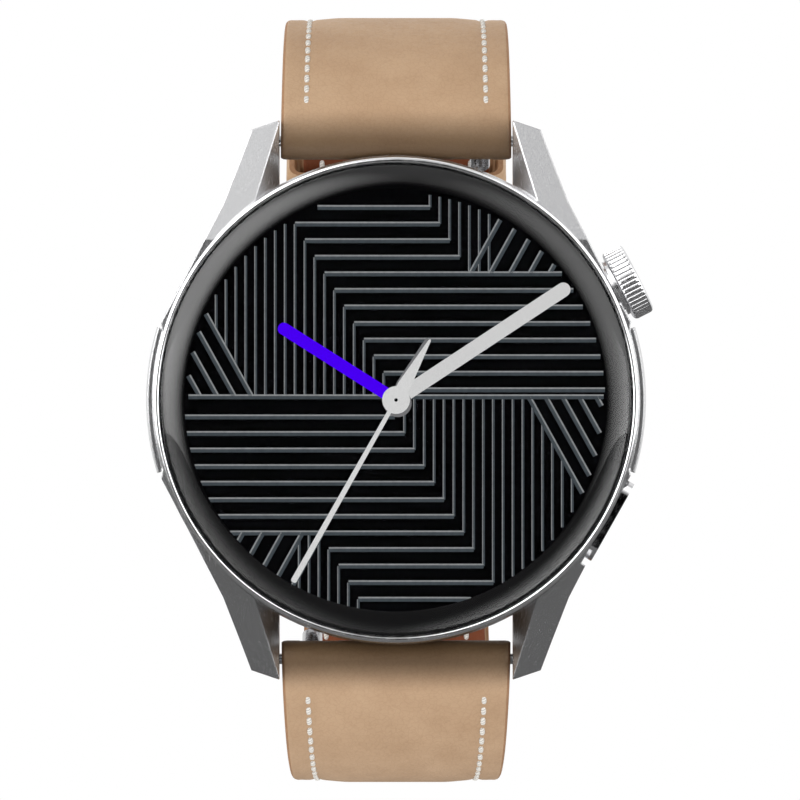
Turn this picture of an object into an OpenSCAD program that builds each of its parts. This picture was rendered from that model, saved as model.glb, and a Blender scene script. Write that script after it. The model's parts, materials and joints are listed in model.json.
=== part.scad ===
// A round smartwatch on an open, formed leather strap.
// X runs towards the crown side, Z towards twelve o'clock, and the dial faces -Y.
// The origin is the centre of the flat back face. Heights called h are counted from it towards the dial.

/* [Case] */
// Diameter of the round mid-case at its belly
case_d = 46; // [45.6:0.1:46.4]
// Height from the back face to the top of the glass
case_h = 11; // [10.8:0.1:11.4]
// Distance between the tips of the upper and the lower lugs
lug_span = 52.6; // [52:0.1:53]
// Gap between the two lugs of a pair
lug_gap = 22; // [21.8:0.1:22]
// Outer diameter of the polished bezel ring
bezel_d = 45.4; // [45:0.1:45.5]

/* [Crown and side button] */
// Angle of the crown above the three o'clock line
crown_angle = 27; // [25:1:29]
// Diameter of the crown's knob
crown_d = 7; // [6.6:0.1:7.2]
// How far the crown's knob stands along its axis
crown_len = 2.1; // [1.9:0.1:2.4]
// Number of knurls round the crown
knurls = 48; // [36:4:60]
// Angle of the side button below the three o'clock line
button_angle = 29.5; // [28:0.5:31]
// Length of the side button along the case
button_len = 8.3; // [7.9:0.1:8.5]

/* [Strap] */
// Thickness of the strap, leather and lining together
strap_t = 2.2; // [2:0.1:2.4]
// Radius of the strap's loop, to the middle of its thickness
loop_r = 35.5; // [35:0.1:36]
// Width of the strap at the buckle
strap_end_w = 18; // [17.6:0.1:18.2]
// Number of buckle holes
holes = 6; // [4:1:6]
// Distance between two buckle holes
hole_pitch = 6.5; // [6:0.1:6.5]

/* [Hidden] */
$fn = 64;

// Overshoot of a cutting shape past the face that it cuts
over = 1;
// Larger than any distance in the watch
reach = 120;

// Case: radii and heights
case_r = case_d / 2;
belly_r = 20;            // bulge of the flank, seen in section
belly_h = 5.2;           // height of the widest place
flank_low = 1.3;         // bottom edge of the mid-case
rim_h = 8.75;            // front face of the mid-case, under the bezel
cavity_r = 19.8;         // inside of the case
bay_r = 21.2;            // recess for the display
bay_low = 8.1;
mouth_r = 20.3;          // recess for the back cover's spigot
mouth_high = 2.4;
foot_r = 21.2;           // where the flank's lower chamfer ends
foot_h = 2.6;            // where it starts
side_swell = 0.5;        // extra radius of the flank at three and nine o'clock
swell_half = 17;         // half of its angle
bar_h = 3.2;             // height of the spring bars
bar_z = 24.4;            // distance of the spring bars from the centre
bar_hole_r = 0.55;
bar_hole_depth = 1.7;
roll_r = 1.75;           // rolled leather round a spring bar
roll_gap = 0.35;
post_r = 1.5;            // posts for the back screws
post_at = 18.3;
post_high = 4.3;
screw_r = 0.6;

// Bezel, glass and display
bezel_r = bezel_d / 2;
bezel_in_r = bezel_r - 0.62;
bezel_high = case_h - 1.05;
bezel_edge = 0.28;
glass_r = bezel_in_r - 0.05;
glass_low = 8.95;
glass_flat_r = 19.6;     // where the flat top ends and the domed edge starts
glass_edge_r = 3.2;      // radius of that edge in section
panel_r = 20.6;
panel_low = 8.3;

// Lugs
lug_in = lug_gap / 2;
lug_tip_z = lug_span / 2;
lug_front = [[15, rim_h], [lug_tip_z, 5.3]];   // slope of the front facet, as z and h

// Crown, along its own axis from the centre of the case
crown_r = crown_d / 2;
crown_h = 5.1;
knob_at = 23.4;
seat_at = 22.7;
stem_r = 1.2;
bushing_r = 2;
run = 0.05;              // clearance of a part that slides or turns in a bore
thin_stem_r = 0.7;
shoulder_at = 19.3;
stem_end = 17.2;
magnet_r = 1;
seal_in_r = 0.8;         // bottom of the grooves for the stem's two seals
seals_at = [20.3, 21.6];
neck_r = 2.2;
yoke_at = 18.95;
yoke_t = 0.3;
yoke_arm = 1.7;
bridge_at = 16.6;
crown_travel = 0.35;

// Side button, along its own axis
button_w = 2.6;
button_out = 23.4;
button_in = 21.45;
button_seat = 22.6;
pocket_floor = 21;
plunger_r = 0.8;
plunger_end = 18.6;
guide_r = 0.5;
guide_at = 2.8;
button_travel = 0.3;

// Strap: the loop is an arc of loop_r behind the case, and a tighter arc leads from each bar to it
skin_t = 1.3;                         // the outer leather's share of the thickness
loop_y = 14.2;
shoulder_r = 19.2;
shoulder_turn = 65;
strap_w = lug_gap - 0.2;
upper_w = [strap_w, 21.2, 19.2, strap_end_w];   // at the four depths below
lower_w = [strap_w, 19.8, 18.4, strap_end_w];
taper_y = [-6, loop_y, 41, 47];
lining_start = 82;                    // where the lining begins on the shoulder arc
upper_end = 20;                       // the buckle bar's angle on the loop
tip_z = -8.6;
tip_r = strap_end_w / 2;
first_hole = -33;
hole_r = 1;
bar_y = -bar_h;

// Spring bars
tube_r = 0.9;
tube_bore = 0.65;
tube_half = 10.4;
tip_pin_r = 0.5;
tip_reach = 12.2;
knob_x = 7.9;
knob_r = 0.95;
knob_out = 2.9;
knob_lean = 40;
release = 1.3;
slot_half = 0.5;

// Keepers: bands round the strap, with room for the strap's tail on its outer side
keeper_wall = 1.1;
keeper_gap = 0.3;
keeper_room = strap_t + 0.5;
keeper_half = 9.85;
fixed_keeper_span = [23.5, 31.5];
free_keeper_span = [32.5, 42];

// Buckle
buckle_bar_r = 0.75;
end_roll_r = 1.5;
frame_in = 9.35;
frame_out = 11.4;
frame_t = 1.8;
frame_drop = 14.2;
frame_rail = 2.2;
frame_corner = 2.6;
tongue_w = 2.6;
tongue_slot = 3.2;

function on_loop(a, r) = [loop_y + r * cos(a), r * sin(a)];

// ---------- shared shapes ----------

// Turns a shape drawn upwards so that up becomes the dial's direction
module dialward() rotate([90, 0, 0]) children();

// Spins an outline of radius and height round the dial's axis
module turned() dialward() rotate_extrude() children();

// A flat ring between two heights
module ring(r_out, r_in, low, high)
  turned() translate([r_in, low]) square([r_out - r_in, high - low]);

module disc(r, low, high) dialward() translate([0, 0, low]) cylinder(r = r, h = high - low);

// A block standing between two heights on a dial-plane rectangle
module block(centre, size, low, high)
  dialward() translate([centre.x, centre.y, (low + high) / 2])
    cube([size.x, size.y, high - low], center = true);

// Everything on the far side of a plane
module beyond(point, normal)
  translate(point)
    rotate([0, acos(normal.z / norm(normal)), atan2(normal.y, normal.x)])
      translate([-reach / 2, -reach / 2, 0])
        cube(reach);

// A frame whose X axis runs out of the case at an angle in the dial's plane, at height h
module spoke(angle, h) rotate([0, -angle, 0]) translate([0, -h, 0]) children();

// A rod along X
module rod(r, from, to) translate([from, 0, 0]) rotate([0, 90, 0]) cylinder(r = r, h = to - from);

// Draws a shape in the plane of Y and Z and gives it width along X
module across(width) rotate([90, 0, 90]) linear_extrude(width, center = true) children();

// A pie slice about the origin
module slice(from, to, steps = 6)
  polygon(concat([[0, 0]], [for (i = [0:steps])
    let (a = from + (to - from) * i / steps) reach * [cos(a), sin(a)]]));

// An arched band between two radii
module arch(centre, r_in, r_out, from, to)
  translate(centre) intersection() {
    difference() {
      circle(r_out);
      circle(r_in);
    }
    slice(from, to);
  }

// A bar outline with round ends
module capsule(length, width) {
  square([length - width, width], center = true);
  for (side = [-1, 1]) translate([side * (length - width) / 2, 0]) circle(width / 2);
}

// A rectangle with round corners, with its bottom edge on the X axis
module soft_rect(width, height, corner) {
  translate([-width / 2, corner]) square([width, height - 2 * corner]);
  translate([corner - width / 2, 0]) square([width - 2 * corner, height]);
  for (side = [-1, 1], z = [corner, height - corner])
    translate([side * (width / 2 - corner), z]) circle(corner);
}

// ---------- case ----------

module flank_outline(extra)
  intersection() {
    translate([0, flank_low]) square([case_r + extra, rim_h - flank_low]);
    translate([case_r - belly_r + extra, belly_h]) circle(belly_r);
    polygon([[0, 0], [foot_r, flank_low], [case_r, foot_h], [case_r + over, foot_h + over],
      [case_r + over, rim_h + over], [0, rim_h + over]]);
  }

// One lug, upper right: an upright prism with a sloping front facet and a facet on its inner edge
module lug() {
  inner_edge = [[lug_in + 0.1, 25.8], [13.3, 18.5]];
  slope = (lug_front[1].y - lug_front[0].y) / (lug_front[1].x - lug_front[0].x);
  edge = [for (p = inner_edge) [p.x, -(lug_front[0].y + slope * (p.y - lug_front[0].x)), p.y]];
  foot = [lug_in, -4.4, 18.5];
  difference() {
    dialward() linear_extrude(rim_h)
      polygon([[lug_in, 8], [lug_in, lug_tip_z], [13.6, lug_tip_z - 0.9], [14.6, 22.7],
        [16.2, 18.5], [18.9, 13.2], [22, 7.3], [case_r - 1.5, 4], [14, 4]]);
    beyond([0, -rim_h, lug_front[0].x], [0, -1, -slope]);
    beyond(edge[0], cross(foot - edge[0], edge[1] - edge[0]));
    beyond([0, -flank_low, 20.5], [0, 1, 0.14]);
    beyond([0, -2.2, lug_tip_z], [0, 0.5, 0.6]);
    beyond([0, -4.9, lug_tip_z], [0, -0.35, 1]);
    translate([0, bar_y, bar_z]) rod(bar_hole_r, lug_in - over, lug_in + bar_hole_depth);
  }
}

module crown_way() spoke(crown_angle, crown_h) {
  rod(bushing_r, cavity_r - 3, reach / 2);
  rod(neck_r + 0.15, seat_at - 0.4, reach / 2);
  rod(crown_r + 0.4, seat_at, reach / 2);
}

module button_way() spoke(-button_angle, crown_h) {
  rod(plunger_r + run, cavity_r - 3, pocket_floor + over);
  for (side = [-1, 1]) translate([0, 0, side * guide_at])
    rod(guide_r + run, cavity_r - 3, pocket_floor + over);
  translate([pocket_floor, 0, 0]) rotate([90, 0, 90]) linear_extrude(reach / 2)
    rotate(90) capsule(button_len + 0.2, button_w + 0.2);
  translate([button_seat, -reach / 2, -button_len / 2 - 0.6])
    cube([reach / 2, reach, button_len + 1.2]);
}

module case_body() {
  turned() flank_outline(0);
  intersection() {
    turned() flank_outline(side_swell);
    for (side = [0, 180]) rotate([0, side, 0]) dialward() linear_extrude(rim_h - 0.6)
      slice(-swell_half, swell_half);
  }
  for (flip = [0, 1], turn = [0, 1])
    mirror([flip, 0, 0]) mirror([0, 0, turn]) lug();
}

// Slots in the flank for the speaker, and the microphone's hole
module sound_ways() {
  for (a = [-11:5:4]) spoke(180 + a, 4.6) translate([cavity_r - 2, 0, 0])
    rotate([90, 0, 90]) linear_extrude(over * 8) rotate(90) capsule(1.5, 0.7);
  spoke(180 - 14, 4.6) rod(0.35, cavity_r - 2, case_r + over);
}

module post_holes(r) for (a = [45:90:315]) dialward() rotate(a) translate([post_at, 0, 0])
  cylinder(r = r, h = post_high);

module mid_case() color("silver") difference() {
  union() {
    difference() {
      case_body();
      disc(cavity_r, mouth_high - over, rim_h);
    }
    intersection() {
      post_holes(post_r);
      disc(cavity_r + 0.2, mouth_high, post_high);
    }
  }
  disc(mouth_r, 0, mouth_high);
  disc(foot_r + 0.1, -over, flank_low);
  disc(bay_r, bay_low, rim_h + over);
  post_holes(screw_r);
  for (side = [-1, 1]) translate([0, bar_y, side * bar_z])
    rod(roll_r + roll_gap, -lug_in, lug_in);
  crown_way();
  button_way();
  sound_ways();
}

module bezel_ring() color("gainsboro") turned() {
  low = rim_h;
  w = bezel_r - bezel_in_r;
  translate([bezel_in_r, low]) square([w, bezel_high - bezel_edge - low]);
  translate([bezel_in_r + bezel_edge, low]) square([w - 2 * bezel_edge, bezel_high - low]);
  for (r = [bezel_in_r + bezel_edge, bezel_r - bezel_edge])
    translate([r, bezel_high - bezel_edge]) circle(bezel_edge);
}

module cover_glass() color("black", 0.6) turned() intersection() {
  translate([0, glass_low]) square([glass_r, case_h - glass_low]);
  union() {
    square([glass_flat_r, case_h]);
    translate([glass_flat_r, case_h - glass_edge_r]) circle(glass_edge_r);
  }
}

module glass_seal() color("dimgray") ring(glass_r - 0.05, bay_r, rim_h, glass_low);

module display_panel() color("midnightblue") disc(panel_r, panel_low, glass_low - 0.05);

module display_bracket() color("darkslategray")
  ring(bay_r - 0.1, cavity_r - 1.2, bay_low, panel_low - 0.05);

// ---------- inside the case ----------

chassis_low = 6.3;
chassis_high = 6.7;
board_high = 7.25;
battery_low = 2.95;
battery_high = 6.2;

module chassis() color("dimgray") {
  difference() {
    disc(cavity_r - 0.3, chassis_low, chassis_high);
    block([0, 14], [9, 3], 0, case_h);
    block([0, -14.5], [5, 3], 0, case_h);
  }
  for (a = [45:90:315]) dialward() rotate(a) translate([post_at - 0.3, 0, post_high])
    cylinder(r = 1.1, h = chassis_low - post_high);
}

module main_board() color("darkgreen") difference() {
  disc(cavity_r - 1.3, chassis_high, board_high);
  block([0, -cavity_r], [10, 9], 0, case_h);
}

module shield_can() color("silver") block([-4, 4], [15, 11], board_high, bay_low - 0.1);

module memory_chip() color("black") block([9.5, 3], [7, 8], board_high, bay_low - 0.3);

module battery() color("gray") dialward() translate([-1.5, -10, battery_low])
  linear_extrude(battery_high - battery_low) soft_rect(24, 20, 2.5);

module vibration_motor() color("silver") dialward() translate([0, -14.6, 3.1])
  cylinder(r = 4, h = 2.7);

module speaker() color("black") block([-16.1, -2.6], [4.2, 8.6], battery_low, battery_high - 0.1);

module speaker_mesh() color("dimgray") intersection() {
  ring(cavity_r - 0.02, cavity_r - 0.3, 3.9, 5.3);
  rotate([0, 3.5, 0]) block([-cavity_r, 0], [8, 8], 0, case_h);
}

module microphone() color("gold") block([-17.3, 4.7], [2, 2.6], 4, 5.2);

module switch_flex() color("orange") intersection() {
  ring(18.4, 14.4, chassis_low - 0.13, chassis_low - 0.03);
  dialward() linear_extrude(case_h) slice(-40, 37);
}

module crown_switch() color("silver") spoke(crown_angle, crown_h) {
  translate([14.9, -1.05, -1.5]) cube([1.2, 2.1, 3]);
  rod(0.6, 16, bridge_at - crown_travel - 0.05);
}

module button_switch() color("silver") spoke(-button_angle, crown_h) {
  translate([16.9, -1.05, -1.6]) cube([1.1, 2.1, 3.2]);
  rod(0.6, 17.9, plunger_end - button_travel - 0.05);
}

// ---------- back of the case ----------

back_flat_r = 16;
window_r = 8;
window_step = 0.9;

module back_cover() color("darkslategray") difference() {
  turned() difference() {
    union() {
      intersection() {
        square([foot_r - 0.1, flank_low - 0.05]);
        union() {
          square([back_flat_r, flank_low]);
          translate([back_flat_r, 11.6]) circle(11.6);
        }
      }
      square([mouth_r - 0.8, mouth_high - 0.1]);
    }
    translate([0, 1]) square([post_at - post_r - 0.2, mouth_high]);
    square([window_r, mouth_high]);
    translate([0, 0.5]) square([window_r + window_step, mouth_high]);
  }
  for (a = [45:90:315]) dialward() rotate(a) translate([post_at, 0, -over]) {
    cylinder(r = screw_r + 0.1, h = case_h);
    cylinder(r = 1.25, h = over + 1);
  }
}

module back_seal() color("black") turned() translate([mouth_r - 0.4, 1.9]) circle(0.38);

module sensor_window() color("black", 0.7) {
  disc(window_r - 0.02, 0, 0.6);
  disc(window_r + window_step - 0.05, 0.52, 1);
}

module sensor_shroud() color("black") difference() {
  disc(window_r - 0.4, 1.02, 2);
  for (a = [0:90:270]) dialward() rotate(a) translate([4.6, 0, 0]) cylinder(r = 1.3, h = case_h);
  disc(1.6, 0, case_h);
}

module sensor_board() color("darkgreen") disc(12, 2.02, 2.6);

module charging_coil() color("peru") ring(14.5, window_r + window_step + 0.6, 1.02, 1.7);

module back_screw(a) color("silver") dialward() rotate(a) translate([post_at, 0, 0]) {
  difference() {
    translate([0, 0, 0.35]) cylinder(r = 1.15, h = 0.65);
    for (turn = [0, 90]) rotate(turn) translate([-0.7, -0.13, 0]) cube([1.4, 0.26, 0.65]);
  }
  translate([0, 0, 0.9]) cylinder(r = screw_r - 0.02, h = post_high - 1.1);
}

// ---------- crown ----------

module crown_bushing() color("goldenrod") spoke(crown_angle, crown_h) difference() {
  rod(bushing_r, cavity_r, seat_at - 0.42);
  rod(stem_r + run, cavity_r - over, seat_at);
}

// The yoke follows the crown in and out but can't turn; its bridge works the switch
module crown_yoke() color("silver") spoke(crown_angle, crown_h) {
  difference() {
    translate([yoke_at, -0.95, -yoke_arm]) cube([yoke_t, 1.9, 2 * yoke_arm]);
    rod(thin_stem_r + run, bridge_at - over, cavity_r);
  }
  for (side = [-1, 1]) translate([bridge_at, -0.95, side * (yoke_arm - 0.2) - 0.2])
    cube([yoke_at - bridge_at + 0.05, 1.9, 0.4]);
  translate([bridge_at, -0.95, -yoke_arm]) cube([0.4, 1.9, 2 * yoke_arm]);
}

module crown_stem() color("silver") spoke(crown_angle, crown_h) difference() {
  union() {
    rod(stem_r, shoulder_at, knob_at + 0.8);
    rod(thin_stem_r, stem_end, shoulder_at + 0.1);
  }
  for (x = seals_at) translate([x, 0, 0]) rotate([0, 90, 0])
    rotate_extrude() translate([seal_in_r, -0.23]) square([stem_r, 0.46]);
}

module crown_seals() color("black") spoke(crown_angle, crown_h)
  for (x = seals_at) translate([x, 0, 0]) rotate([0, 90, 0])
    rotate_extrude() translate([seal_in_r + 0.22, 0]) circle(0.2);

module crown_magnet() color("dimgray") spoke(crown_angle, crown_h) difference() {
  rod(magnet_r, stem_end + 0.1, yoke_at - 0.05);
  rod(thin_stem_r, stem_end - over, cavity_r);
}

module crown_knob() color("silver") spoke(crown_angle, crown_h) rotate([0, 90, 0]) difference() {
  edge = 0.45;
  union() {
    translate([0, 0, knob_at]) rotate_extrude() intersection() {
      square([crown_r, crown_len]);
      union() {
        translate([0, edge]) square([crown_r, crown_len - 2 * edge]);
        square([crown_r - edge, crown_len]);
        for (z = [edge, crown_len - edge]) translate([crown_r - edge, z]) circle(edge);
      }
    }
    translate([0, 0, knob_at - 0.3]) cylinder(r = 2.75, h = 0.4);
    translate([0, 0, knob_at - 0.55]) cylinder(r = neck_r, h = 0.4);
  }
  translate([0, 0, knob_at - over]) cylinder(r = stem_r + 0.01, h = over + 0.8);
  translate([0, 0, knob_at + crown_len - 0.3]) cylinder(r = 2.3, h = over);
  for (i = [0:knurls - 1]) rotate(i * 360 / knurls) translate([crown_r + 0.04, 0, knob_at - over])
    cylinder(r = 0.16, h = crown_len + 2 * over);
}

module crown_cap() color("gainsboro") spoke(crown_angle, crown_h)
  rod(2.28, knob_at + crown_len - 0.3, knob_at + crown_len + 0.02);

// ---------- side button ----------

module side_button() color("gainsboro") spoke(-button_angle, crown_h) {
  translate([button_in, 0, 0]) rotate([90, 0, 90]) linear_extrude(button_out - button_in)
    rotate(90) capsule(button_len, button_w);
  rod(plunger_r, plunger_end, button_in + 0.1);
  for (side = [-1, 1]) translate([0, 0, side * guide_at]) rod(guide_r, 19, button_in + 0.1);
}

module button_seals() color("black") spoke(-button_angle, crown_h) difference() {
  rod(plunger_r + run - 0.01, 20.2, 20.7);
  rod(plunger_r + 0.005, 20, 21);
}

module button_clips() color("silver") spoke(-button_angle, crown_h)
  for (side = [-1, 1]) translate([0, 0, side * guide_at]) difference() {
    rod(0.9, 19.2, 19.45);
    rod(guide_r, 19, 20);
  }

// ---------- strap ----------

// Keeps the strap's width at each depth
module tapered(widths) intersection() {
  children();
  linear_extrude(reach, center = true) polygon(concat(
    [for (i = [0:3]) [widths[i] / 2, taper_y[i]]],
    [[widths[3] / 2, reach], [-widths[3] / 2, reach]],
    [for (i = [3:-1:0]) [-widths[i] / 2, taper_y[i]]]));
}

// One layer of the upper half, from the bar over the shoulder and down the loop
module strap_layer(inner, outer, start, end) {
  arch([loop_y, loop_r - shoulder_r], shoulder_r + inner, shoulder_r + outer, 90 - 0.01, start);
  arch([loop_y, 0], loop_r + inner, loop_r + outer, end, 90);
}

// The leather's solid near a bar, where it rolls round the bar and comes back on itself
module bar_roll() {
  along = 90 + shoulder_turn;
  translate([bar_y, bar_z]) circle(roll_r);
  arch([loop_y, loop_r - shoulder_r], shoulder_r - strap_t / 2, shoulder_r + strap_t / 2,
    90 + shoulder_turn * 0.86, along);
}

module release_notch() translate([0, bar_y, bar_z]) rotate([knob_lean, 0, 0])
  translate([knob_x - release - 1.2, -1.3, -4]) cube([release + 2.4, 2.6, 4]);

module upper_leather() color("peru") difference() {
  tapered(upper_w) across(strap_w) difference() {
    union() {
      bar_roll();
      strap_layer(strap_t / 2 - skin_t, strap_t / 2, 90 + shoulder_turn, upper_end);
      translate(on_loop(upper_end, loop_r)) circle(end_roll_r);
    }
    translate([bar_y, bar_z]) circle(tube_r + 0.02);
    translate(on_loop(upper_end, loop_r)) circle(buckle_bar_r + 0.03);
  }
  release_notch();
  tongue_way();
}

// The slot that lets the tongue through the leather at the buckle bar
module tongue_way() across(tongue_slot) arch([loop_y, 0], loop_r - 4, loop_r + 4,
  upper_end - 6, upper_end + 7);

module upper_lining() color("sienna") tapered(upper_w) across(strap_w - 0.02)
  strap_layer(-strap_t / 2, strap_t / 2 - skin_t, 90 + shoulder_turn * 0.86, upper_end + 7);

module tail_tip() {
  translate([-reach / 2, 0, -reach]) cube([reach, reach, reach + tip_z - tip_r]);
  translate([0, 0, tip_z - tip_r]) rotate([-90, 0, 0]) cylinder(r = tip_r, h = reach);
}

module near_half() translate([-reach / 2, -reach / 2, -reach]) cube([reach, reach / 2 + loop_y, reach]);

module buckle_holes() for (i = [0:holes - 1]) {
  a = first_hole - i * hole_pitch / loop_r * 180 / PI;
  translate([0, loop_y, 0]) rotate([a, 0, 0]) translate([0, loop_r - 4, 0])
    rotate([-90, 0, 0]) cylinder(r = hole_r, h = 8);
}

module to_tail() intersection() {
  children();
  union() {
    near_half();
    tail_tip();
  }
}

module lower_leather() color("peru") difference() {
  to_tail() tapered(lower_w) across(strap_w) mirror([0, 1]) difference() {
    union() {
      bar_roll();
      strap_layer(strap_t / 2 - skin_t, strap_t / 2, 90 + shoulder_turn, 12);
    }
    translate([bar_y, bar_z]) circle(tube_r + 0.02);
  }
  rotate([0, 180, 0]) release_notch();
  buckle_holes();
}

module lower_lining() color("sienna") difference() {
  to_tail() tapered(lower_w) across(strap_w - 0.02) mirror([0, 1])
    strap_layer(-strap_t / 2, strap_t / 2 - skin_t, 90 + shoulder_turn * 0.86, 12);
  buckle_holes();
}

// ---------- spring bars, drawn for the upper half; the lower one is the same piece turned over ----------

module bar_tube() color("silver") translate([0, bar_y, bar_z]) difference() {
  rod(tube_r, -tube_half, tube_half);
  rod(tube_bore, knob_x - release - 1.6, tube_half + over);
  rotate([knob_lean, 0, 0]) translate([knob_x - release - slot_half, -slot_half, -2])
    cube([release + 2 * slot_half, 2 * slot_half, 2]);
}

module fixed_tip() color("silver") translate([0, bar_y, bar_z])
  rod(tip_pin_r, -tip_reach, -tube_half);

module release_pin() color("gainsboro") translate([0, bar_y, bar_z]) {
  rod(tip_pin_r, tube_half - 1, tip_reach);
  rod(tube_bore - run, knob_x - 0.9, tube_half - 0.6);
  rotate([knob_lean, 0, 0]) translate([knob_x, 0, 0]) rotate([180, 0, 0]) {
    cylinder(r = slot_half - run, h = 1.5);
    translate([0, 0, tube_r + 0.15]) cylinder(r = knob_r, h = knob_out - tube_r - 0.15);
  }
}

module upper_bar_tube() bar_tube();
module upper_fixed_tip() fixed_tip();
module upper_release_pin() release_pin();
module lower_bar_tube() rotate([0, 180, 0]) bar_tube();
module lower_fixed_tip() rotate([0, 180, 0]) fixed_tip();
module lower_release_pin() rotate([0, 180, 0]) release_pin();

// ---------- keepers ----------

module keeper(span) difference() {
  across(2 * (keeper_half + keeper_wall)) arch([loop_y, 0],
    loop_r - strap_t / 2 - keeper_gap - keeper_wall,
    loop_r + strap_t / 2 + keeper_room + keeper_wall, span[0], span[1]);
  across(2 * keeper_half) arch([loop_y, 0],
    loop_r - strap_t / 2 - keeper_gap, loop_r + strap_t / 2 + keeper_room, span[0] - 1, span[1] + 1);
}

module fixed_keeper() color("peru") keeper(fixed_keeper_span);
module free_keeper() color("peru") keeper(free_keeper_span);

// ---------- buckle, hanging from its bar ----------

module at_buckle() {
  p = on_loop(upper_end, loop_r);
  translate([0, p.x, p.y]) children();
}

module buckle_bar() color("silver") at_buckle() rod(buckle_bar_r, -frame_out + 0.3, frame_out - 0.3);

module buckle_frame() color("silver") at_buckle() difference() {
  union() {
    translate([0, frame_t / 2, -frame_drop]) rotate([90, 0, 0]) linear_extrude(frame_t)
      difference() {
        intersection() {
          soft_rect(2 * frame_out, frame_drop + 6, frame_corner);
          translate([-frame_out, 0]) square([2 * frame_out, frame_drop]);
        }
        translate([-frame_in, frame_rail]) square([2 * frame_in, frame_drop]);
      }
    for (side = [-1, 1]) rod(1.5, side > 0 ? frame_in : -frame_out, side > 0 ? frame_out : -frame_in);
  }
  rod(buckle_bar_r + run, -frame_out - over, frame_out + over);
}

module buckle_tongue() color("silver") at_buckle() difference() {
  union() {
    rod(1.6, -tongue_w / 2, tongue_w / 2);
    translate([-1, frame_t / 2 + 0.1, 1 - frame_drop]) cube([2, 0.9, frame_drop - 1]);
    translate([0, frame_t / 2 + 0.1, 1 - frame_drop]) rotate([-90, 0, 0]) cylinder(r = 1, h = 0.9);
  }
  rod(buckle_bar_r + run, -tongue_w, tongue_w);
}

mid_case();
bezel_ring();
cover_glass();
glass_seal();
display_panel();
display_bracket();
chassis();
main_board();
shield_can();
memory_chip();
battery();
vibration_motor();
speaker();
speaker_mesh();
microphone();
switch_flex();
crown_switch();
button_switch();
back_cover();
back_seal();
sensor_window();
sensor_shroud();
sensor_board();
charging_coil();
back_screw(45);  // back_screw_1
back_screw(135);  // back_screw_2
back_screw(225);  // back_screw_3
back_screw(315);  // back_screw_4
crown_bushing();
crown_yoke();
crown_stem();
crown_knob();
crown_cap();
crown_seals();
crown_magnet();
side_button();
button_seals();
button_clips();
upper_leather();
upper_lining();
upper_bar_tube();
upper_fixed_tip();
upper_release_pin();
fixed_keeper();
free_keeper();
buckle_bar();
buckle_frame();
buckle_tongue();
lower_leather();
lower_lining();
lower_bar_tube();
lower_fixed_tip();
lower_release_pin();
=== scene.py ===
"""Looks for the smartwatch: strap leather and stitches, glass and displayed dial, metals, light and camera.

Lengths are in millimetres until a mesh is made, and in metres for the floor, the lamps and the camera.
The dial faces -Y, twelve o'clock is +Z and the crown side is +X. h is the height over the back face,
towards the dial.
"""
import json
import math

import bmesh
import bpy
from mathutils import Matrix, Vector


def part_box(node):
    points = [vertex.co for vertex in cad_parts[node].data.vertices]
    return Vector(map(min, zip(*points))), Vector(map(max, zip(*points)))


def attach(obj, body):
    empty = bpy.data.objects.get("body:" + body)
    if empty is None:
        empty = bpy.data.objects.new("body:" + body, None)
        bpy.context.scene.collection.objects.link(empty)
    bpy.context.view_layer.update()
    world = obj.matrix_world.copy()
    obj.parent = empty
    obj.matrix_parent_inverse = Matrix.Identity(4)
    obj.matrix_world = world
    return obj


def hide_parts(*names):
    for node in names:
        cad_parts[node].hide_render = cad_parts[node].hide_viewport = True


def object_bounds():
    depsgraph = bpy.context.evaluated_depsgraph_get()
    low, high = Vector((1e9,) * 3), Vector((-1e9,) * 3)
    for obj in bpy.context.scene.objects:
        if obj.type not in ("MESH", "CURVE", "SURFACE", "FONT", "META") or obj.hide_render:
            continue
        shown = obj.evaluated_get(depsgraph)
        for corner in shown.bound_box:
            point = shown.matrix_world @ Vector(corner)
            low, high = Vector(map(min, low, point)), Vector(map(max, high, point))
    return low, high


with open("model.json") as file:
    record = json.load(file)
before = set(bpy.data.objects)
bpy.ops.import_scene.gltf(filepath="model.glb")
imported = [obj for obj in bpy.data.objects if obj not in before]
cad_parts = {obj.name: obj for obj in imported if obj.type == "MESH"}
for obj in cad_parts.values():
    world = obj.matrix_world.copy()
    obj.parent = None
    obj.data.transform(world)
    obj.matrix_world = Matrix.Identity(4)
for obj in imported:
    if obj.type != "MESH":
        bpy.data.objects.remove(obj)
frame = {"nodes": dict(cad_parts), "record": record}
CAD_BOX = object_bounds()
MM = 0.001
WHITE = (1, 1, 1, 1)


def size_of(node, axis):
    """The largest distance of a CAD node from the origin along an axis, in mm."""
    low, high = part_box(node)
    return max(abs(low[axis]), abs(high[axis])) / MM


# ---------- sizes, in mm ----------

# From the frame

CASE_H = size_of("cover_glass", 1)
GLASS_R = size_of("cover_glass", 0)
BEZEL_R = size_of("bezel_ring", 0)
BEZEL_HIGH = size_of("bezel_ring", 1)
RIM_H = min(abs(c[1]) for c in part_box("bezel_ring")) / MM
DISPLAY_H = size_of("display_panel", 1)
STRAP_W = 2 * size_of("upper_leather", 0)

# The glass's flat middle and rounded edge, and the bezel's rounded rim
GLASS_LOW = DISPLAY_H + 0.085
GLASS_FLAT_R = 19.6
GLASS_EDGE_R = 3.2
BEZEL_W = 0.62
BEZEL_EDGE_R = 0.29

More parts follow.
